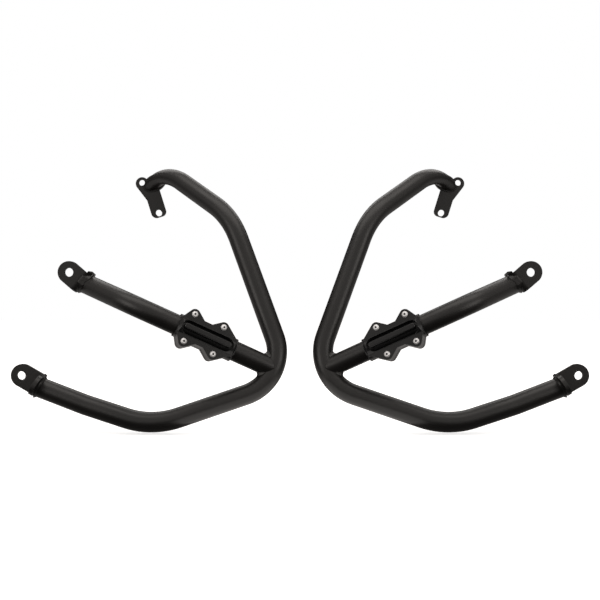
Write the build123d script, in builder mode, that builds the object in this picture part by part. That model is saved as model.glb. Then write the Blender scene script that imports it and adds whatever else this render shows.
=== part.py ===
from build123d import *
import os
from math import atan2, cos, degrees, radians, sin

# A pair of motorcycle crash bars. Each bar is one bent main tube, braced by a strut that is coped
# to its loop, with three welded mounting plates and a two-half slider clamped on the strut.
# X runs across the pair, Y points in towards the motorcycle and Z is up. The left bar is modelled
# and the right bar is its mirror image in the YZ plane. All sizes are in millimetres.

# Tube stock
main_tube_diameter = 25.4
strut_tube_diameter = 25.0
main_tube_wall = 2.0
strut_tube_wall = 2.0

# Layout of one bar: its main sizes and its loop's distance from the mirror plane. Each corner of the
# centre lines is placed by its shares of the reach out from the loop, the depth in and the height up.
bar_reach = 313.5
bar_depth = 201.0
bar_height = 335.5
loop_offset = 12.5
middle_depth_share = 0.4925
middle_height_share = 0.4858

# Main tube, from the top plate to the bottom bracket: corner shares and bend radii
top_end_shares = (0.6195, 1.0, 0.9604)
hook_shares = (0.5534, 0.8383, 1.0)
shoulder_shares = (0.2472, 0.4577, 0.7869)
loop_shares = (0.0, 0.199, 0.1699)
knee_shares = (0.5407, 0.1493, 0.0)
set_shares = (0.8118, 0.209, 0.076)
bottom_end_shares = (1.0, 0.246, 0.1392)
hook_radius = 80.0
shoulder_radius = 100.0
loop_radius = 56.5
knee_radius = 104.0
set_radius = 118.0
hook_flat_depth = 21.0
hook_flat_width = 26.0
hook_flat_share = 0.5

# Strut, from the loop to the middle bracket
strut_loop_share = 0.46
strut_corner_shares = (0.5805, 0.0, 0.4393)
strut_end_shares = (0.823, 0.2935, 0.5261)
strut_radius = 68.0

# Top plate: a strip with an ear, flat against the tube's upper end, placed from that end
top_plate_thickness = 5.0
top_strip_side = 6.9
top_strip_drop = 1.2
top_strip_width = 21.0
top_strip_end = 6.0
top_strip_corner = 7.0
top_ear_side = 17.6
top_ear_drop = 0.8
top_ear_width = 18.2
top_neck_share = 0.5
top_hole_diameter = 8.5
top_hole_side = 18.1
top_hole_rise = 0.5
top_slot_side = 6.0
top_slot_drop = 42.5
top_slot_travel = 1.5
top_slot_angle = -47.0

# Folded brackets
bracket_thickness = 5.0
bracket_bend_radius = 3.0
bracket_hole_diameter = 11.0
flange_round_share = 0.97
middle_ear_angle = 41.0
middle_ear_width = 28.0
middle_ear_shift = -0.8
middle_ear_reach = 17.0
middle_hole_distance = 22.2
middle_hole_shift = -0.8
middle_end_margin = 14.0
middle_flange_width = 30.5
middle_flange_shift = 1.0
middle_flange_reach = 20.0
bottom_ear_angle = 30.0
bottom_ear_width = 29.2
bottom_ear_shift = -0.15
bottom_ear_reach = 13.0
bottom_hole_distance = 29.4
bottom_hole_shift = -0.95
bottom_end_margin = 13.3
bottom_flange_width = 26.5
bottom_flange_shift = 2.4
bottom_flange_reach = 26.0

# Weld beads
bead_leg = 2.2
top_bead_leg = 1.2
bead_crest = 0.5
top_bead_clearance = 0.8
strut_bead_leg = 6.5
strut_bead_root = 6.0
strut_bead_sink = 0.8
strut_bead_hollow = 0.35
strut_bead_half_width = 8.0
strut_bead_taper = 0.5
strut_bead_steps = 4

# Slider: two moulded halves round the strut
slider_distance = 84.1
slider_roll = -16.5
slider_bore_clearance = 0.15
slider_gap = 1.5
body_length = 76.5
body_shift = 5.4
side_wall = 1.75
crown_wall = 7.85
collar_wall = 2.35
collar_slope = 8.0
crown_blend = 6.0
clamp_wall = 1.95
screw_span_along = 38.6
screw_span_across = 35.6
lug_radius = 6.7
lug_front = 15.5
lug_back = 7.0
lug_end_half_width = 8.0
lug_notch_half_length = 5.2
lug_notch_half_width = 15.4
channel_shift = 4.5
channel_length = 67.5
channel_width = 17.6
channel_wall = 1.55
rib_length = 61.5
rib_width = 6.6
rib_rise = 8.8
rib_edge = 1.2

# Slider fasteners
screw_diameter = 4.0
screw_length = 22.0
screw_hole_clearance = 0.25
head_diameter = 8.0
head_height = 2.5
head_crown_diameter = 4.8
socket_across_flats = 2.5
socket_depth = 1.5
nut_across_flats = 7.0
nut_height = 3.2
nut_pocket_depth = 4.2
nut_pocket_clearance = 0.15
nut_thread_clearance = 0.05

main_radius = main_tube_diameter / 2
strut_outer_radius = strut_tube_diameter / 2
fold_radius = bracket_thickness + bracket_bend_radius
inward = Vector(0, 1, 0)
outward = Vector(0, -1, 0)


def layout(reach_share, depth_share, height_share):
    # A corner of a centre line
    return Vector(
        -loop_offset - reach_share * bar_reach,
        (depth_share - middle_depth_share) * bar_depth,
        (height_share - middle_height_share) * bar_height,
    )


def beyond(end, inner, overrun):
    # The point past a tube's end, in line with its last run
    return end + (end - inner).normalized() * overrun


def across_ear(angle):
    # The direction from a bracket's bolt hole to its flange
    return Vector(cos(radians(angle)), 0, -sin(radians(angle)))


top_end = layout(*top_end_shares)
hook_corner = layout(*hook_shares)
shoulder_corner = layout(*shoulder_shares)
loop_corner = layout(*loop_shares)
knee_corner = layout(*knee_shares)
set_corner = layout(*set_shares)
bottom_end = layout(*bottom_end_shares)
strut_corner = layout(*strut_corner_shares)
strut_end = layout(*strut_end_shares)

# Centre lines, run on past the plates so that each end can be cut to its plate's face
end_overrun = 2 * main_tube_diameter
with BuildLine() as main_line:
    FilletPolyline(
        beyond(top_end, hook_corner, end_overrun),
        hook_corner,
        shoulder_corner,
        loop_corner,
        knee_corner,
        set_corner,
        beyond(bottom_end, set_corner, end_overrun),
        radius=[hook_radius, shoulder_radius, loop_radius, knee_radius, set_radius],
    )
loop_arc = main_line.edges().filter_by(GeomType.CIRCLE).sort_by_distance(loop_corner)[0]
strut_joint = loop_arc @ strut_loop_share
with BuildLine() as strut_line:
    FilletPolyline(
        strut_joint,
        strut_corner,
        beyond(strut_end, strut_corner, end_overrun),
        radius=strut_radius,
    )


def rod(line, radius):
    # A solid round bar along a centre line
    with BuildPart() as bar:
        with BuildSketch(Plane(origin=line.wire() @ 0, z_dir=line.wire() % 0)):
            Circle(radius)
        sweep(path=line.wire())
    return bar.part


# The main tube is round from its bottom end to the hook, where the bend flattens it
main_edges = main_line.wire().order_edges()
with BuildLine() as hook_line:
    add(main_edges[:2])
with BuildLine() as round_line:
    add(main_edges[2:])
hook_arc = main_edges[1]
hook_normal = (top_end - hook_corner).cross(shoulder_corner - hook_corner).normalized()


def hooked_rod(inset):
    # The solid outline of the main tube, drawn in by the wall's thickness for its bore
    hook_wire = hook_line.wire()
    flat_places = [(hook_wire @ 0, hook_wire % 0), (hook_arc @ hook_flat_share, hook_arc % hook_flat_share)]
    with BuildPart() as bar:
        add(rod(round_line, main_radius - inset))
        for place, run in flat_places:
            with BuildSketch(Plane(origin=place, x_dir=hook_normal.cross(run), z_dir=run)):
                Ellipse(hook_flat_depth / 2 - inset, hook_flat_width / 2 - inset)
        last_run = hook_wire % 1
        with BuildSketch(Plane(origin=hook_wire @ 1, x_dir=hook_normal.cross(last_run), z_dir=last_run)):
            Circle(main_radius - inset)
        sweep(path=hook_wire, multisection=True)
    return bar.part


main_rod = hooked_rod(0)
main_bore = hooked_rod(main_tube_wall)
strut_rod = rod(strut_line, strut_outer_radius)
strut_bore = rod(strut_line, strut_outer_radius - strut_tube_wall)

# Faces that the tubes' ends are cut to, each facing away from its tube
top_face = Plane(origin=top_end, x_dir=(1, 0, 0), z_dir=inward)
middle_face = Plane(origin=strut_end, x_dir=inward, z_dir=-across_ear(middle_ear_angle))
bottom_face = Plane(origin=bottom_end, x_dir=inward, z_dir=-across_ear(bottom_ear_angle))

with BuildPart() as main_tube:
    add(main_rod)
    add(main_bore, mode=Mode.SUBTRACT)
    for face in (top_face, bottom_face):
        with BuildSketch(face):
            Circle(end_overrun)
        extrude(amount=2 * end_overrun, mode=Mode.SUBTRACT)

with BuildPart() as strut_tube:
    add(strut_rod)
    add(strut_bore, mode=Mode.SUBTRACT)
    add(main_rod, mode=Mode.SUBTRACT)
    with BuildSketch(middle_face):
        Circle(end_overrun)
    extrude(amount=2 * end_overrun, mode=Mode.SUBTRACT)


def round_axes(run, face, radius):
    # Two half axes across a round tube that meets a face
    across = run.cross(face.z_dir).normalized()
    return across.cross(run) * radius, across * radius


def end_axes(run, face, half_axes):
    # The long and short half axes of a tube's oval end, drawn along the tube on to its plate
    rise = -run.dot(face.z_dir)
    first, second = (axis + run * (axis.dot(face.z_dir) / rise) for axis in half_axes)
    turn = atan2(2 * first.dot(second), first.dot(first) - second.dot(second)) / 2
    return first * cos(turn) + second * sin(turn), second * cos(turn) - first * sin(turn)


top_run = (hook_corner - top_end).normalized()
middle_run = (strut_corner - strut_end).normalized()
bottom_run = (set_corner - bottom_end).normalized()
flat_axes = (hook_normal.cross(top_run) * (hook_flat_depth / 2), hook_normal * (hook_flat_width / 2))
top_axes = end_axes(top_run, top_face, flat_axes)
middle_axes = end_axes(middle_run, middle_face, round_axes(middle_run, middle_face, strut_outer_radius))
bottom_axes = end_axes(bottom_run, bottom_face, round_axes(bottom_run, bottom_face, main_radius))

# Top plate: an oval head backs the tube's end, the strip runs down from it to the slot and the ear
# runs across to the round hole
strip_start = Vector(-top_strip_side, -top_strip_drop)
ear_hole = Vector(-top_hole_side, top_hole_rise)
slot_centre = Vector(top_slot_side, -top_slot_drop)
strip_run = slot_centre - strip_start
strip_turn = degrees(atan2(strip_run.Y, strip_run.X))
strip_length = strip_run.length + top_strip_end
strip_place = Pos(strip_start) * Rot(0, 0, strip_turn)
strip_foot = strip_place * Pos(strip_length, 0)
strip_neck = strip_place * Pos(top_neck_share * strip_run.length, -top_strip_width / 2)
with BuildPart() as top_plate:
    with BuildSketch(Plane(origin=top_end, x_dir=(1, 0, 0), z_dir=outward)):
        with Locations(strip_place * Pos(strip_length / 2, 0)):
            Rectangle(strip_length, top_strip_width)
        fillet(vertices().sort_by_distance(strip_foot.position)[:2], top_strip_corner)
        with BuildLine() as ear_line:
            CenterArc((-top_ear_side, -top_ear_drop), top_ear_width / 2, 0, 360)
            Line(strip_start, strip_neck.position)
        make_hull(ear_line.edges())
        Ellipse(
            top_axes[0].length + top_bead_leg,
            top_axes[1].length + top_bead_leg,
            rotation=degrees(atan2(top_axes[0].Z, top_axes[0].X)),
        )
        with Locations(ear_hole):
            Circle(top_hole_diameter / 2, mode=Mode.SUBTRACT)
        with Locations(slot_centre):
            SlotOverall(
                top_hole_diameter + top_slot_travel,
                top_hole_diameter,
                rotation=top_slot_angle,
                mode=Mode.SUBTRACT,
            )
    extrude(amount=-top_plate_thickness)


def folded_bracket(end, angle, side, ear, flange):
    # An ear with a bolt hole, folded square to a flange that closes the tube's end. The ear lies
    # on the outer side of the tube (side -1) or on the motorcycle's side (side 1).
    ear_width, ear_shift, ear_reach, hole_distance, hole_shift, end_margin = ear
    flange_width, flange_shift, flange_reach = flange
    normal = across_ear(angle)
    ear_length = hole_distance + end_margin
    straight_length = ear_length - ear_width / 2
    ear_plane = Plane(origin=end, x_dir=normal, z_dir=outward)
    fold_plane = Plane(origin=end, x_dir=normal, z_dir=ear_plane.y_dir)
    flange_plane = Plane(origin=end, x_dir=ear_plane.y_dir, z_dir=normal)
    outer_corner = (0, side * ear_reach)
    inner_corner = (-bracket_thickness, side * (ear_reach - bracket_thickness))
    with BuildPart() as bracket:
        with BuildSketch(fold_plane):
            with BuildLine():
                Polyline(
                    outer_corner,
                    (-ear_length, side * ear_reach),
                    (-ear_length, side * (ear_reach - bracket_thickness)),
                    inner_corner,
                    (-bracket_thickness, -side * flange_reach),
                    (0, -side * flange_reach),
                    close=True,
                )
            make_face()
            fillet(vertices().sort_by_distance(outer_corner)[0], fold_radius)
            fillet(vertices().sort_by_distance(inner_corner)[0], bracket_bend_radius)
        extrude(amount=flange_width, both=True)
        with BuildSketch(ear_plane):
            with Locations((-bracket_thickness / 2, flange_shift)):
                Rectangle(bracket_thickness, flange_width)
            with Locations((-straight_length / 2, ear_shift)):
                Rectangle(straight_length, ear_width)
            with Locations((-straight_length, ear_shift)):
                Circle(ear_width / 2)
            with Locations((-hole_distance, hole_shift)):
                Circle(bracket_hole_diameter / 2, mode=Mode.SUBTRACT)
        extrude(amount=ear_reach + flange_reach, both=True, mode=Mode.INTERSECT)
        with BuildSketch(flange_plane):
            free_end = -side * flange_plane.y_dir.Y
            with Locations((flange_shift, free_end * (flange_reach - ear_reach) / 2)):
                Rectangle(flange_width, ear_reach + flange_reach)
            free_corners = vertices().sort_by_distance((flange_shift, free_end * 2 * flange_reach))[:2]
            fillet(free_corners, flange_round_share * flange_width / 2)
            with Locations((ear_shift, -free_end * (ear_reach - fold_radius / 2))):
                Rectangle(ear_width, fold_radius)
        extrude(amount=ear_length, both=True, mode=Mode.INTERSECT)
    return bracket


middle_bracket = folded_bracket(
    strut_end,
    middle_ear_angle,
    -1,
    (
        middle_ear_width,
        middle_ear_shift,
        middle_ear_reach,
        middle_hole_distance,
        middle_hole_shift,
        middle_end_margin,
    ),
    (middle_flange_width, middle_flange_shift, middle_flange_reach),
)
bottom_bracket = folded_bracket(
    bottom_end,
    bottom_ear_angle,
    1,
    (
        bottom_ear_width,
        bottom_ear_shift,
        bottom_ear_reach,
        bottom_hole_distance,
        bottom_hole_shift,
        bottom_end_margin,
    ),
    (bottom_flange_width, bottom_flange_shift, bottom_flange_reach),
)


def end_bead(face, run, tube_rod, outline, leg, ear_offset=0):
    # A fillet weld round a tube's end, on the plate that the end is cut to. On a folded plate the
    # ear's outer face lies at an offset from the tube's middle: the weld stops there, and fills the
    # hollow that the fold's rounding leaves under the tube's end.
    long_axis, short_axis = outline
    rise = -run.dot(face.z_dir)
    seat = Plane(origin=face.origin, x_dir=long_axis, z_dir=-face.z_dir)
    crest = Plane(origin=face.origin + run * (leg / rise), x_dir=long_axis, z_dir=-face.z_dir)
    with BuildPart() as bead:
        with BuildSketch(seat):
            Ellipse(long_axis.length + leg, short_axis.length + leg)
        with BuildSketch(crest):
            Ellipse(long_axis.length + bead_crest, short_axis.length + bead_crest)
        loft(ruled=True)
        add(tube_rod, mode=Mode.SUBTRACT)
        if ear_offset:
            ear_side = inward * (1 if ear_offset > 0 else -1)
            ear_face = Plane(origin=face.origin + inward * ear_offset, x_dir=face.z_dir, z_dir=ear_side)
            with BuildSketch(ear_face):
                Circle(end_overrun)
            extrude(amount=end_overrun, mode=Mode.SUBTRACT)
            with BuildPart(mode=Mode.PRIVATE) as fold_fill:
                fold_run = face.z_dir.cross(-ear_side)
                with BuildSketch(Plane(origin=ear_face.origin, x_dir=face.z_dir, z_dir=fold_run)):
                    with Locations((fold_radius / 2, fold_radius / 2)):
                        Rectangle(fold_radius, fold_radius)
                    with Locations((fold_radius, fold_radius)):
                        Circle(fold_radius, mode=Mode.SUBTRACT)
                extrude(amount=end_overrun, both=True)
                with BuildSketch(seat):
                    Ellipse(long_axis.length + leg, short_axis.length + leg)
                extrude(amount=-fold_radius, mode=Mode.INTERSECT)
            add(fold_fill.part)
    return bead


with BuildPart() as top_weld:
    # The bolt's way through the ear stays clear of the weld
    add(end_bead(top_face, top_run, main_rod, top_axes, top_bead_leg).part)
    with BuildSketch(Plane(origin=top_end, x_dir=(1, 0, 0), z_dir=outward)):
        with Locations(ear_hole):
            Circle(top_hole_diameter / 2 + top_bead_clearance)
    extrude(amount=2 * top_bead_leg, both=True, mode=Mode.SUBTRACT)
middle_weld = end_bead(middle_face, middle_run, strut_rod, middle_axes, bead_leg, -middle_ear_reach)
bottom_weld = end_bead(bottom_face, bottom_run, main_rod, bottom_axes, bead_leg, bottom_ear_reach)

# The strut's weld fills the two crotches of the joint, hollow in front and tapered off at both ends
strut_run = (strut_corner - strut_joint).normalized()
joint_normal = strut_run.cross(loop_arc % strut_loop_share)
joint_plane = Plane(origin=strut_joint, x_dir=strut_run, z_dir=joint_normal)
loop_centre = joint_plane.to_local_coords(loop_arc.arc_center)
loop_reach = (loop_centre.X ** 2 + loop_centre.Y ** 2) ** 0.5
bead_shares = [2 * step / strut_bead_steps - 1 for step in range(strut_bead_steps + 1)]
with BuildPart() as strut_weld:
    for side in (-1, 1):
        for share in bead_shares:
            height = share * strut_bead_half_width
            leg = strut_bead_leg * (1 - strut_bead_taper * share ** 2)
            strut_edge = side * (strut_outer_radius ** 2 - height ** 2) ** 0.5
            loop_edge = loop_reach - (main_radius ** 2 - height ** 2) ** 0.5
            drop = strut_edge - loop_centre.Y
            crotch = Vector(loop_centre.X - (loop_edge ** 2 - drop ** 2) ** 0.5, strut_edge)
            along_loop = Vector(-drop, crotch.X - loop_centre.X) * (-side / loop_edge)
            strut_toe = crotch + Vector(leg, -side * strut_bead_sink)
            loop_toe = crotch + along_loop * leg
            front = (strut_toe + loop_toe) / 2
            with BuildSketch(joint_plane.offset(height)):
                with BuildLine():
                    ThreePointArc(strut_toe, front + (crotch - front) * strut_bead_hollow, loop_toe)
                    Polyline(loop_toe, crotch + Vector(-strut_bead_root, -side * strut_bead_root), strut_toe)
                make_face()
        loft(ruled=True)
    add(main_rod, mode=Mode.SUBTRACT)
    add(strut_rod, mode=Mode.SUBTRACT)

# Slider frame: x along the strut towards the loop, z out from its middle line
slider_run = -strut_run
slider_centre = strut_corner + slider_run * slider_distance
square_out = outward - slider_run * outward.dot(slider_run)
slider_out = square_out.rotate(Axis(slider_centre, slider_run), slider_roll)
slider_plane = Plane(origin=slider_centre, x_dir=slider_run, z_dir=slider_out)
body_start = body_shift - body_length / 2
body_end = body_shift + body_length / 2
bore_radius = strut_outer_radius + slider_bore_clearance
crown_height = bore_radius + crown_wall
collar_height = bore_radius + collar_wall
channel_floor = bore_radius + channel_wall
screw_places = [
    (along * screw_span_along / 2, across * screw_span_across / 2) for along in (-1, 1) for across in (-1, 1)
]


def slider_section(along):
    # A plane across the strut, x across the slider and y out from it
    return Plane(
        origin=slider_plane.from_local_coords((along, 0, 0)),
        x_dir=slider_plane.y_dir,
        z_dir=slider_plane.x_dir,
    )


with BuildSketch() as lug_outline:
    with Locations((body_shift, 0)):
        Rectangle(body_length, 2 * lug_end_half_width)
    Rectangle(2 * lug_notch_half_length, 2 * lug_notch_half_width)
    for along, across in screw_places:
        end = body_end if along > 0 else body_start
        notch = lug_notch_half_length if along > 0 else -lug_notch_half_length
        side = 1 if across > 0 else -1
        with BuildLine() as lug_line:
            CenterArc((along, across), lug_radius, 0, 360)
            Polyline(
                (end, side * lug_end_half_width),
                (end, 0),
                (notch, 0),
                (notch, side * lug_notch_half_width),
                close=True,
            )
        make_hull(lug_line.edges())

with BuildPart() as slider_shell:
    # The crown is an oval hood, tapered down to a collar at each end
    with BuildSketch(slider_section(body_start)):
        Ellipse(bore_radius + side_wall, crown_height)
    extrude(amount=body_length)
    with BuildSketch(Plane(origin=slider_centre, x_dir=slider_plane.x_dir, z_dir=-slider_plane.y_dir)):
        with BuildLine():
            Polyline(
                (body_start, 0),
                (body_start, collar_height),
                (body_start + collar_slope, crown_height + crown_blend),
                (body_end - collar_slope, crown_height + crown_blend),
                (body_end, collar_height),
                (body_end, 0),
                close=True,
            )
        make_face()
    revolve(axis=Axis(slider_centre, slider_plane.x_dir), mode=Mode.INTERSECT)
    with BuildSketch(slider_plane):
        add(lug_outline.sketch)
    extrude(amount=lug_front)
    # The racetrack rib stands in a channel along the crown, and the channel's floor follows the tube
    with BuildPart(mode=Mode.PRIVATE) as channel:
        with BuildSketch(slider_plane):
            with Locations((channel_shift, 0)):
                SlotOverall(channel_length, channel_width)
        extrude(amount=2 * crown_height)
        with BuildSketch(slider_section(body_start)):
            Circle(channel_floor)
        extrude(amount=body_length, mode=Mode.SUBTRACT)
    add(channel.part, mode=Mode.SUBTRACT)
    with BuildSketch(slider_plane):
        with Locations((channel_shift, 0)):
            SlotOverall(rib_length, rib_width)
    extrude(amount=channel_floor + rib_rise)
    rib_top = faces().filter_by(GeomType.PLANE).sort_by(Axis(slider_centre, slider_plane.z_dir))[-1]
    fillet(rib_top.edges(), rib_edge)
    with BuildSketch(slider_section(body_start)):
        Circle(bore_radius)
    extrude(amount=body_length, mode=Mode.SUBTRACT)
    with BuildSketch(slider_plane):
        with Locations(*screw_places):
            Circle(screw_diameter / 2 + screw_hole_clearance)
    extrude(amount=lug_front, mode=Mode.SUBTRACT)
    split(bisect_by=slider_plane.offset(slider_gap / 2), keep=Keep.TOP)

with BuildPart() as slider_clamp:
    with BuildSketch(slider_section(body_start)):
        Circle(bore_radius + clamp_wall)
    extrude(amount=body_length)
    with BuildSketch(slider_plane):
        add(lug_outline.sketch)
    extrude(amount=-lug_back)
    with BuildSketch(slider_section(body_start)):
        Circle(bore_radius)
    extrude(amount=body_length, mode=Mode.SUBTRACT)
    with BuildSketch(slider_plane):
        with Locations(*screw_places):
            Circle(screw_diameter / 2 + screw_hole_clearance)
    extrude(amount=-lug_back, mode=Mode.SUBTRACT)
    with BuildSketch(slider_plane.offset(-lug_back)):
        with Locations(*screw_places):
            RegularPolygon(nut_across_flats / 2 + nut_pocket_clearance, 6, major_radius=False)
    extrude(amount=nut_pocket_depth, mode=Mode.SUBTRACT)
    split(bisect_by=slider_plane.offset(-slider_gap / 2), keep=Keep.BOTTOM)

# Button-head screw, from the underside of its head
with BuildPart() as screw:
    with BuildSketch(Plane.XZ):
        with BuildLine():
            Polyline(
                (0, head_height),
                (0, -screw_length),
                (screw_diameter / 2, -screw_length),
                (screw_diameter / 2, 0),
                (head_diameter / 2, 0),
            )
            TangentArc(
                (head_diameter / 2, 0),
                (head_crown_diameter / 2, head_height),
                tangent=(0, 1),
            )
            Line((head_crown_diameter / 2, head_height), (0, head_height))
        make_face()
    revolve(axis=Axis.Z)
    with BuildSketch(Plane.XY.offset(head_height)):
        RegularPolygon(socket_across_flats / 2, 6, major_radius=False)
    extrude(amount=-socket_depth, mode=Mode.SUBTRACT)

with BuildPart() as nut:
    with BuildSketch():
        RegularPolygon(nut_across_flats / 2, 6, major_radius=False)
        Circle(screw_diameter / 2 + nut_thread_clearance, mode=Mode.SUBTRACT)
    extrude(amount=-nut_height)

with BuildPart() as slider_screws:
    with Locations(slider_plane.offset(lug_front)):
        with Locations(*screw_places):
            add(screw.part)

with BuildPart() as slider_nuts:
    with Locations(slider_plane.offset(nut_pocket_depth - lug_back)):
        with Locations(*screw_places):
            add(nut.part)

# Each piece is written as modelled for the left bar and mirrored for the right bar
pieces = {
    "main_tube": main_tube,
    "strut_tube": strut_tube,
    "top_plate": top_plate,
    "middle_bracket": middle_bracket,
    "bottom_bracket": bottom_bracket,
    "top_weld": top_weld,
    "middle_weld": middle_weld,
    "bottom_weld": bottom_weld,
    "strut_weld": strut_weld,
    "slider_shell": slider_shell,
    "slider_clamp": slider_clamp,
    "slider_screws": slider_screws,
    "slider_nuts": slider_nuts,
}
os.makedirs("parts", exist_ok=True)
for name, piece in pieces.items():
    piece.part.label = "left_" + name
    export_step(piece.part, "parts/left_" + name + ".step")
    with BuildPart() as twin:
        mirror(piece.part, about=Plane.YZ)
    twin.part.label = "right_" + name
    export_step(twin.part, "parts/right_" + name + ".step")
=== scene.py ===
import math
import bpy
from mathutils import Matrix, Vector


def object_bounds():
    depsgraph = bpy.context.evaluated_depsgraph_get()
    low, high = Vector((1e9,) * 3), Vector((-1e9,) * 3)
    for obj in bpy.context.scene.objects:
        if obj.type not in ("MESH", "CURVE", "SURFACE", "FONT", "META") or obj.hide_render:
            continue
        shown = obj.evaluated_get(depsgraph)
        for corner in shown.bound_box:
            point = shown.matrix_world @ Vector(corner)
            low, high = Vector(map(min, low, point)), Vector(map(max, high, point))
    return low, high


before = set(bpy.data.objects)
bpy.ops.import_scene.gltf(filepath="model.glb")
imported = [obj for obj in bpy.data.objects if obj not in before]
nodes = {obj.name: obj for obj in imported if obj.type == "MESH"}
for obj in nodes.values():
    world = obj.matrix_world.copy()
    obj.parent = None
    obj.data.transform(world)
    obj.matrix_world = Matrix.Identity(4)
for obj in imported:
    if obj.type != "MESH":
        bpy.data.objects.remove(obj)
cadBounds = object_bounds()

print("stage 1: frame loaded,", len(nodes), "nodes")


# Helpers for node trees: a value given as a socket is linked, any other is set
def feed(tree, value, socket):
    if hasattr(value, "links"):
        tree.links.new(value, socket)
    else:
        socket.default_value = value


def opaque(colour):
    return (*colour, 1.0)


def addMath(tree, operation, *values, clamp=False):
    node = tree.nodes.new("ShaderNodeMath")
    node.operation = operation
    node.use_clamp = clamp
    for socket, value in zip(node.inputs, values):
        feed(tree, value, socket)
    return node.outputs[0]


def addMix(tree, factor, first, second):
    node = tree.nodes.new("ShaderNodeMix")
    node.data_type = "RGBA"
    feed(tree, factor, node.inputs["Factor"])
    feed(tree, first, node.inputs["A"])
    feed(tree, second, node.inputs["B"])
    return node.outputs["Result"]


def addRange(tree, value, start, stop, low, high, kind):
    node = tree.nodes.new("ShaderNodeMapRange")
    node.interpolation_type = kind
    feed(tree, value, node.inputs["Value"])
    feed(tree, start, node.inputs["From Min"])
    feed(tree, stop, node.inputs["From Max"])
    feed(tree, low, node.inputs["To Min"])
    feed(tree, high, node.inputs["To Max"])
    return node.outputs["Result"]


def addNoise(tree, scale, detail, roughness=0.5):
    place = tree.nodes.new("ShaderNodeTexCoord").outputs["Object"]
    node = tree.nodes.new("ShaderNodeTexNoise")
    feed(tree, place, node.inputs["Vector"])
    feed(tree, scale, node.inputs["Scale"])
    feed(tree, detail, node.inputs["Detail"])
    feed(tree, roughness, node.inputs["Roughness"])
    return node.outputs["Fac"]


def addBevel(tree, radius):
    node = tree.nodes.new("ShaderNodeBevel")
    node.samples = effectLook["bevelSamples"]
    feed(tree, radius, node.inputs["Radius"])
    return node.outputs["Normal"]


def addBump(tree, height, depth, normal):
    node = tree.nodes.new("ShaderNodeBump")
    feed(tree, height, node.inputs["Height"])
    feed(tree, depth, node.inputs["Distance"])
    feed(tree, normal, node.inputs["Normal"])
    return node.outputs["Normal"]


# One shader for what the camera sees, the other for every other ray
def addShaderPick(tree, others, camera, output):
    ray = tree.nodes.new("ShaderNodeLightPath")
    pick = tree.nodes.new("ShaderNodeMixShader")
    tree.links.new(ray.outputs["Is Camera Ray"], pick.inputs[0])
    tree.links.new(others.outputs[0], pick.inputs[1])
    tree.links.new(camera.outputs[0], pick.inputs[2])
    tree.links.new(pick.outputs[0], tree.nodes[output].inputs["Surface"])


def newGroup(name, inputs, outputs):
    tree = bpy.data.node_groups.new(name, "ShaderNodeTree")
    for label in inputs:
        tree.interface.new_socket(label, in_out="INPUT", socket_type="NodeSocketFloat")
    for label, kind in outputs.items():
        tree.interface.new_socket(label, in_out="OUTPUT", socket_type=kind)
    entry = tree.nodes.new("NodeGroupInput")
    leave = tree.nodes.new("NodeGroupOutput")
    return tree, entry.outputs, leave.inputs


def placeGroup(tree, group, values):
    node = tree.nodes.new("ShaderNodeGroup")
    node.node_tree = group
    for label, value in values.items():
        node.inputs[label].default_value = value
    return node.outputs


# Sampling and noise of the shared effects
effectLook = {
    "bevelSamples": 6,
    "socketShadeSamples": 8,
    "grainDetail": 2.0,
    "waveDetail": 1.0,
    "cloudDetail": 3.0,
    "cloudRoughness": 0.55,
    "cloudLow": 0.3,
    "cloudHigh": 0.7,
    "edgeBreakScale": 260.0,
    "edgeBreakDetail": 2.0,
}


# Grain: a rounded edge normal with a fine orange-peel bump over it
def makeGrainGroup():
    tree, entry, leave = newGroup(
        "surfaceGrain",
        ("edgeRadius", "grainScale", "grainDepth", "waveScale", "waveDepth"),
        {"normal": "NodeSocketVector", "grain": "NodeSocketFloat"},
    )
    rounded = addBevel(tree, entry["edgeRadius"])
    grain = addNoise(tree, entry["grainScale"], effectLook["grainDetail"])
    wave = addNoise(tree, entry["waveScale"], effectLook["waveDetail"])
    waved = addBump(tree, wave, entry["waveDepth"], rounded)
    grained = addBump(tree, grain, entry["grainDepth"], waved)
    tree.links.new(grained, leave["normal"])
    tree.links.new(grain, leave["grain"])
    return tree


# Mottle: slow drift of tone or gloss over a surface
def makeMottleGroup():
    tree, entry, leave = newGroup("slowMottle", ("scale", "low", "high"), {"value": "NodeSocketFloat"})
    cloud = addNoise(tree, entry["scale"], effectLook["cloudDetail"], effectLook["cloudRoughness"])
    spread = addRange(
        tree, cloud, effectLook["cloudLow"], effectLook["cloudHigh"], entry["low"], entry["high"], "LINEAR"
    )
    tree.links.new(spread, leave["value"])
    return tree


# Edge mask: one along sharp edges, where the finish draws thin and pale, and where the paler colour also
# stands in as a painted highlight
def makeEdgeHighlightGroup():
    tree, entry, leave = newGroup("thinEdgeAndHighlight", ("radius", "gain"), {"mask": "NodeSocketFloat"})
    flat = tree.nodes.new("ShaderNodeNewGeometry").outputs["Normal"]
    dot = tree.nodes.new("ShaderNodeVectorMath")
    dot.operation = "DOT_PRODUCT"
    tree.links.new(flat, dot.inputs[0])
    tree.links.new(addBevel(tree, entry["radius"]), dot.inputs[1])
    turn = addMath(tree, "SUBTRACT", 1.0, dot.outputs["Value"], clamp=True)
    lifted = addMath(tree, "MULTIPLY", turn, entry["gain"], clamp=True)
    broken = addNoise(tree, effectLook["edgeBreakScale"], effectLook["edgeBreakDetail"])
    tree.links.new(addMath(tree, "MULTIPLY", lifted, broken), leave["mask"])
    return tree
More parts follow.
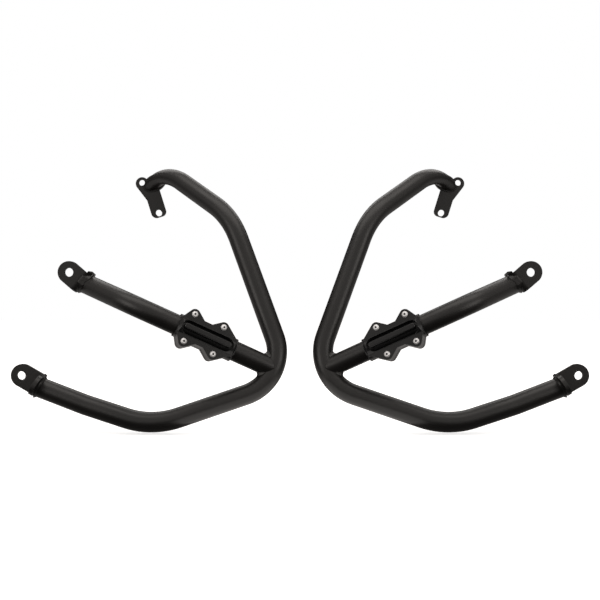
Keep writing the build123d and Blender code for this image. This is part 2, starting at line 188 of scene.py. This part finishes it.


# Painted shade mask: one on open faces, falling towards nothing deep in a socket, where the colour is
# darkened as painted shade
def makeSocketShadeGroup():
    tree, entry, leave = newGroup("paintedSocketShade", ("reach", "falloff"), {"mask": "NodeSocketFloat"})
    shade = tree.nodes.new("ShaderNodeAmbientOcclusion")
    shade.samples = effectLook["socketShadeSamples"]
    tree.links.new(entry["reach"], shade.inputs["Distance"])
    tree.links.new(addMath(tree, "POWER", shade.outputs["AO"], entry["falloff"]), leave["mask"])
    return tree


grainGroup = makeGrainGroup()
mottleGroup = makeMottleGroup()
paleEdgeHighlightGroup = makeEdgeHighlightGroup()
socketShadeGroup = makeSocketShadeGroup()
print("stage 2: shared effects built")


# A surface: drifting base colour, paler edges that are partly a painted highlight, uneven gloss, a fine
# grain and, where given, painted shade in cavities
def makeSurface(name, look):
    material = bpy.data.materials.new(name)
    material.use_nodes = True
    tree = material.node_tree
    shader = tree.nodes["Principled BSDF"]
    grain = placeGroup(tree, grainGroup, look["grain"])
    tone = placeGroup(tree, mottleGroup, look["tone"])
    sheen = placeGroup(tree, mottleGroup, look["rough"])
    paleEdgeAndHighlight = placeGroup(tree, paleEdgeHighlightGroup, look["paleEdgeAndHighlight"])
    colour = addMix(tree, tone["value"], opaque(look["dark"]), opaque(look["light"]))
    # Paler edges: thin finish, and a painted highlight along sharp edges
    colour = addMix(tree, paleEdgeAndHighlight["mask"], colour, opaque(look["edgeThinAndHighlightTint"]))
    # Painted shade: colour darkened towards near black deep in cavities and sockets
    if "socketShade" in look:
        socketShade = placeGroup(tree, socketShadeGroup, look["socketShade"])
        colour = addMix(tree, socketShade["mask"], opaque(look["socketShadeTint"]), colour)
    rough = addMath(tree, "MULTIPLY_ADD", grain["grain"], look["speckle"], sheen["value"])
    tree.links.new(colour, shader.inputs["Base Color"])
    tree.links.new(rough, shader.inputs["Roughness"])
    tree.links.new(grain["normal"], shader.inputs["Normal"])
    shader.inputs["Metallic"].default_value = look["metallic"]
    shader.inputs["Specular IOR Level"].default_value = look["specular"]
    return material


# Black satin powder coat on tubes and plates
coatLook = {
    "grain": {
        "edgeRadius": 0.0006,
        "grainScale": 1100.0,
        "grainDepth": 0.00006,
        "waveScale": 260.0,
        "waveDepth": 0.00008,
    },
    "tone": {"scale": 16.0, "low": 0.0, "high": 1.0},
    "rough": {"scale": 30.0, "low": 0.3, "high": 0.38},
    "paleEdgeAndHighlight": {"radius": 0.0009, "gain": 2.0},
    "dark": (0.0060, 0.0054, 0.0051),
    "light": (0.0085, 0.0077, 0.0072),
    "edgeThinAndHighlightTint": (0.03, 0.028, 0.026),
    "speckle": 0.06,
    "metallic": 0.0,
    "specular": 0.5,
}
coat = makeSurface("powderCoat", coatLook)

# Weld metal under the same coat, a little lumpier
weldLook = dict(coatLook)
weldLook["grain"] = {
    "edgeRadius": 0.0008,
    "grainScale": 1200.0,
    "grainDepth": 0.00004,
    "waveScale": 320.0,
    "waveDepth": 0.00025,
}
weldCoat = makeSurface("coatedWeld", weldLook)

# Black moulded nylon of the sliders
nylonLook = {
    "grain": {
        "edgeRadius": 0.0007,
        "grainScale": 2200.0,
        "grainDepth": 0.000012,
        "waveScale": 200.0,
        "waveDepth": 0.00003,
    },
    "tone": {"scale": 40.0, "low": 0.0, "high": 1.0},
    "rough": {"scale": 50.0, "low": 0.18, "high": 0.25},
    "paleEdgeAndHighlight": {"radius": 0.0008, "gain": 1.6},
    "dark": (0.0040, 0.0040, 0.0042),
    "light": (0.0060, 0.0060, 0.0062),
    "edgeThinAndHighlightTint": (0.03, 0.03, 0.03),
    "speckle": 0.05,
    "metallic": 0.0,
    "specular": 0.38,
}
nylon = makeSurface("mouldedNylon", nylonLook)

# Bright plated screws and nuts, with painted shade darkening their sockets
steelLook = {
    "grain": {
        "edgeRadius": 0.0003,
        "grainScale": 2600.0,
        "grainDepth": 0.000006,
        "waveScale": 500.0,
        "waveDepth": 0.00001,
    },
    "tone": {"scale": 220.0, "low": 0.0, "high": 1.0},
    "rough": {"scale": 160.0, "low": 0.32, "high": 0.42},
    "paleEdgeAndHighlight": {"radius": 0.0003, "gain": 1.0},
    # Painted shade deep in the screw sockets
    "socketShade": {"reach": 0.0022, "falloff": 3.0},
    "socketShadeTint": (0.02, 0.02, 0.02),
    "dark": (0.88, 0.88, 0.88),
    "light": (0.97, 0.97, 0.97),
    "edgeThinAndHighlightTint": (0.96, 0.96, 0.96),
    "speckle": 0.05,
    "metallic": 0.45,
    "specular": 0.5,
}
steel = makeSurface("brightSteel", steelLook)

surfaceOf = {
    "main_tube": (coat, "powder_coat"),
    "strut_tube": (coat, "powder_coat"),
    "top_plate": (coat, "powder_coat"),
    "middle_bracket": (coat, "powder_coat"),
    "bottom_bracket": (coat, "powder_coat"),
    "top_weld": (weldCoat, "powder_coat"),
    "middle_weld": (weldCoat, "powder_coat"),
    "bottom_weld": (weldCoat, "powder_coat"),
    "strut_weld": (weldCoat, "powder_coat"),
    "slider_shell": (nylon, "moulded_plastic"),
    "slider_clamp": (nylon, "moulded_plastic"),
    "slider_screws": (steel, "bright_steel"),
    "slider_nuts": (steel, "bright_steel"),
}
for side in ("left", "right"):
    for piece, (surface, slotName) in surfaceOf.items():
        node = nodes[side + "_" + piece]
        node.data.materials.clear()
        node.data.materials.append(surface)
print("stage 3: materials on", 2 * len(surfaceOf), "nodes")

# Floor: white to the camera, just under the lowest tube
# Its bounce on to the bars is low close by and stronger behind them and far out
floorLook = {
    "drop": 0.002,
    "reach": 6.0,
    "colour": (0.9, 0.9, 0.9),
    "glow": 0.66,
    "bounceTint": (1.0, 0.95, 0.91),
    "nearBounce": 0.05,
    "backBounce": 0.4,
    "backFrom": -0.1,
    "backTo": 0.0,
    "farBounce": 0.22,
    "farFrom": 0.35,
    "farTo": 1.0,
}


# Bounce that rises from its near level along a distance
def addBounce(tree, value, name):
    return addRange(
        tree,
        value,
        floorLook[name + "From"],
        floorLook[name + "To"],
        floorLook["nearBounce"],
        floorLook[name + "Bounce"],
        "SMOOTHSTEP",
    )


def makeFloorMaterial():
    material = bpy.data.materials.new("paleFloor")
    material.use_nodes = True
    tree = material.node_tree
    tree.nodes.remove(tree.nodes["Principled BSDF"])
    matt = tree.nodes.new("ShaderNodeBsdfDiffuse")
    matt.inputs["Color"].default_value = opaque(floorLook["colour"])
    glow = tree.nodes.new("ShaderNodeEmission")
    glow.inputs["Strength"].default_value = floorLook["glow"]
    seen = tree.nodes.new("ShaderNodeAddShader")
    tree.links.new(matt.outputs[0], seen.inputs[0])
    tree.links.new(glow.outputs[0], seen.inputs[1])
    bounced = tree.nodes.new("ShaderNodeEmission")
    bounced.inputs["Color"].default_value = opaque(floorLook["bounceTint"])
    where = tree.nodes.new("ShaderNodeNewGeometry").outputs["Position"]
    spot = tree.nodes.new("ShaderNodeSeparateXYZ")
    tree.links.new(where, spot.inputs[0])
    away = tree.nodes.new("ShaderNodeVectorMath")
    away.operation = "LENGTH"
    tree.links.new(where, away.inputs[0])
    behind = addBounce(tree, spot.outputs["Y"], "back")
    distant = addBounce(tree, away.outputs["Value"], "far")
    tree.links.new(addMath(tree, "MAXIMUM", behind, distant), bounced.inputs["Strength"])
    addShaderPick(tree, bounced, seen, "Material Output")
    return material


floorLevel = cadBounds[0][2] - floorLook["drop"]
reach = floorLook["reach"]
floorCorners = [(-reach, -reach), (reach, -reach), (reach, reach), (-reach, reach)]
floorMesh = bpy.data.meshes.new("floor")
floorMesh.from_pydata([(x, y, floorLevel) for x, y in floorCorners], [], [(0, 1, 2, 3)])
floorMesh.materials.append(makeFloorMaterial())
floor = bpy.data.objects.new("floor", floorMesh)
bpy.context.scene.collection.objects.link(floor)

# Studio room: white to the camera, and for the bars bright in front and above and dim behind
roomLook = {
    "backdrop": 1.0,
    "backdropTint": (1.0, 1.0, 1.0),
    "tint": (1.0, 0.95, 0.91),
    "strength": 0.62,
    "level": 0.3,
    "front": 0.78,
    "up": 0.75,
}
world = bpy.data.worlds.new("studio")
bpy.context.scene.world = world
world.use_nodes = True
worldTree = world.node_tree
roomLight = worldTree.nodes["Background"]
roomLight.inputs["Color"].default_value = opaque(roomLook["tint"])
direction = worldTree.nodes.new("ShaderNodeTexCoord").outputs["Generated"]
split = worldTree.nodes.new("ShaderNodeSeparateXYZ")
worldTree.links.new(direction, split.inputs[0])
fromFront = addMath(worldTree, "MULTIPLY", split.outputs["Y"], -roomLook["front"])
fromAbove = addMath(worldTree, "MULTIPLY", split.outputs["Z"], roomLook["up"])
facing = addMath(worldTree, "ADD", fromFront, fromAbove)
roomGlow = addMath(worldTree, "ADD", facing, roomLook["level"], clamp=True)
roomPower = addMath(worldTree, "MULTIPLY", roomGlow, roomLook["strength"])
worldTree.links.new(roomPower, roomLight.inputs["Strength"])
paper = worldTree.nodes.new("ShaderNodeBackground")
paper.inputs["Color"].default_value = opaque(roomLook["backdropTint"])
paper.inputs["Strength"].default_value = roomLook["backdrop"]
addShaderPick(worldTree, roomLight, paper, "World Output")

# Softboxes and cards: one placed to the right has a twin on the left
# Where "only" is given, the light falls on those pieces alone
softboxes = {
    "keyBox": {
        "size": (2.6, 1.2),
        "power": 13.0,
        "colour": (1.0, 0.95, 0.9),
        "place": (0.0, -0.4, 1.7),
        "aim": (0.0, 0.0, 0.0),
    },
    "sideBox": {
        "size": (0.8, 1.0),
        "power": 4.5,
        "colour": (1.0, 0.95, 0.9),
        "place": (1.4, -1.1, 0.15),
        "aim": (0.0, 0.0, 0.0),
    },
    "backBox": {
        "size": (2.2, 0.7),
        "power": 9.0,
        "colour": (1.0, 0.97, 0.94),
        "place": (0.0, 1.2, 1.2),
        "aim": (0.0, 0.0, 0.0),
    },
    "floorCard": {
        "shape": "ELLIPSE",
        "size": (0.31, 0.2),
        "power": 0.155,
        "colour": (1.0, 0.96, 0.92),
        "place": (0.0, -0.12, -0.17),
        "aim": (0.0, -0.12, 0.0),
        "only": ("main_tube", "slider_shell"),
    },
    "sideCard": {
        "size": (0.6, 0.6),
        "power": 2.4,
        "colour": (1.0, 0.97, 0.94),
        "place": (0.9, -0.4, 0.1),
        "aim": (0.0, -0.05, -0.04),
        "only": ("slider_shell",),
    },
}


def addSoftbox(name, look, place):
    data = bpy.data.lights.new(name, "AREA")
    data.shape = look.get("shape", "RECTANGLE")
    data.size, data.size_y = look["size"]
    data.energy = look["power"]
    data.color = look["colour"]
    light = bpy.data.objects.new(name, data)
    light.location = place
    aim = Vector(look["aim"]) - Vector(place)
    light.rotation_euler = aim.to_track_quat("-Z", "Y").to_euler()
    light.visible_camera = False
    if "only" in look:
        lit = bpy.data.collections.new(name + "Lit")
        for piece in look["only"]:
            for side in ("left", "right"):
                lit.objects.link(nodes[side + "_" + piece])
        light.light_linking.receiver_collection = lit
    bpy.context.scene.collection.objects.link(light)


for boxName, boxLook in softboxes.items():
    across, inward, up = boxLook["place"]
    if across:
        addSoftbox(boxName + "Left", boxLook, (-across, inward, up))
    addSoftbox(boxName, boxLook, boxLook["place"])

# Camera: level and square on to the pair
cameraLook = {
    "place": (0.0, -1.181, -0.007),
    "turn": (math.pi / 2, 0.0, 0.0),
    "lens": 54.18,
    "sensor": 36.0,
    "clipStart": 0.01,
}
cameraData = bpy.data.cameras.new("camera")
cameraData.lens = cameraLook["lens"]
cameraData.sensor_width = cameraLook["sensor"]
cameraData.clip_start = cameraLook["clipStart"]
camera = bpy.data.objects.new("camera", cameraData)
camera.location = cameraLook["place"]
camera.rotation_euler = cameraLook["turn"]
bpy.context.scene.collection.objects.link(camera)
bpy.context.scene.camera = camera
bpy.context.scene.view_settings.view_transform = "Standard"
print("stage 4: floor, light and camera set")
